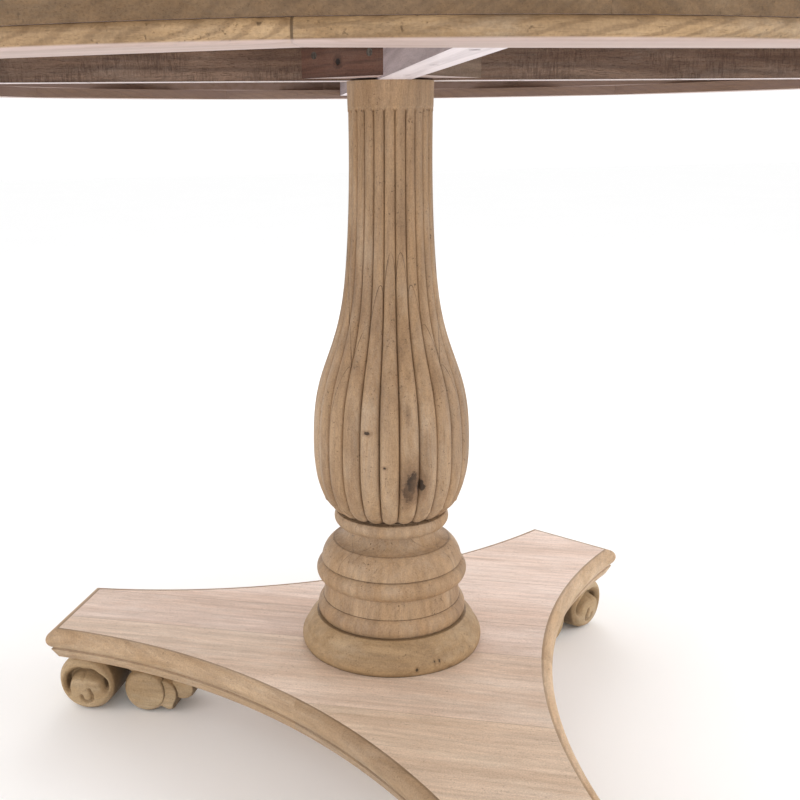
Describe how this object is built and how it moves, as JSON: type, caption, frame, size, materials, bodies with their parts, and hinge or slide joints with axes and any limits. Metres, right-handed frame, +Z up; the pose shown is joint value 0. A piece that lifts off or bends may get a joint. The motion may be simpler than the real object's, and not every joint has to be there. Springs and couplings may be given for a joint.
{
  "type": "round pedestal table",
  "caption": "Round dining table on a reeded, turned wooden column, with a segmented apron and a three-armed platform on carved scroll feet.",
  "frame": {"origin": "on the floor, under the column's axis", "axes": "+Z up along the column; one arm of the platform points along -Y, the other two at 60 degrees either side of +Y"},
  "size_m": [1.2, 1.1998, 0.7675],
  "materials": {
    "bleached_wood": "matt, bleached and waxed",
    "platform_wood": "matt, limed",
    "top_wood": "matt, brushed and waxed",
    "bead_wood": "matt, waxed",
    "apron_wood": "matt, waxed",
    "pale_bearer_wood": "planed, unfinished",
    "rough_sawn_wood": "rough sawn, unfinished",
    "corner_block_wood": "planed, unfinished",
    "zinc_steel": "zinc plated"
  },
  "bodies": {
    "root": {"apron_bead_1": "bead_wood", "apron_bead_10": "bead_wood", "apron_bead_11": "bead_wood", "apron_bead_12": "bead_wood", "apron_bead_2": "bead_wood", "apron_bead_3": "bead_wood", "apron_bead_4": "bead_wood", "apron_bead_5": "bead_wood", "apron_bead_6": "bead_wood", "apron_bead_7": "bead_wood", "apron_bead_8": "bead_wood", "apron_bead_9": "bead_wood", "apron_ring_1": "apron_wood", "apron_ring_2": "apron_wood", "apron_ring_3": "apron_wood", "apron_ring_4": "apron_wood", "base_ring": "bleached_wood", "bearer_cross": "rough_sawn_wood", "bearer_long": "pale_bearer_wood", "block_screws": "zinc_steel", "column_cheek_back": "bleached_wood", "column_cheek_front": "bleached_wood", "column_cheek_left": "bleached_wood", "column_cheek_right": "bleached_wood", "column_core": "bleached_wood", "corner_block_1": "corner_block_wood", "corner_block_2": "corner_block_wood", "corner_block_3": "corner_block_wood", "corner_block_4": "corner_block_wood", "end_lipping_1": "bleached_wood", "end_lipping_2": "bleached_wood", "end_lipping_3": "bleached_wood", "foot_screws": "zinc_steel", "platform_plank_1": "platform_wood", "platform_plank_2": "platform_wood", "platform_plank_3": "platform_wood", "platform_plank_4": "platform_wood", "platform_plank_5": "platform_wood", "rod_nuts": "zinc_steel", "rod_washers": "zinc_steel", "scroll_foot_1": "bleached_wood", "scroll_foot_2": "bleached_wood", "scroll_foot_3": "bleached_wood", "side_lipping_1": "bleached_wood", "side_lipping_2": "bleached_wood", "side_lipping_3": "bleached_wood", "side_lipping_4": "bleached_wood", "side_lipping_5": "bleached_wood", "side_lipping_6": "bleached_wood", "side_lipping_7": "bleached_wood", "tie_rod": "zinc_steel", "top_plank_1": "top_wood", "top_plank_2": "top_wood", "top_plank_3": "top_wood", "top_plank_4": "top_wood", "top_plank_5": "top_wood", "top_plank_6": "top_wood", "top_plank_7": "top_wood", "top_screws": "zinc_steel"}
  },
  "joints": []
}
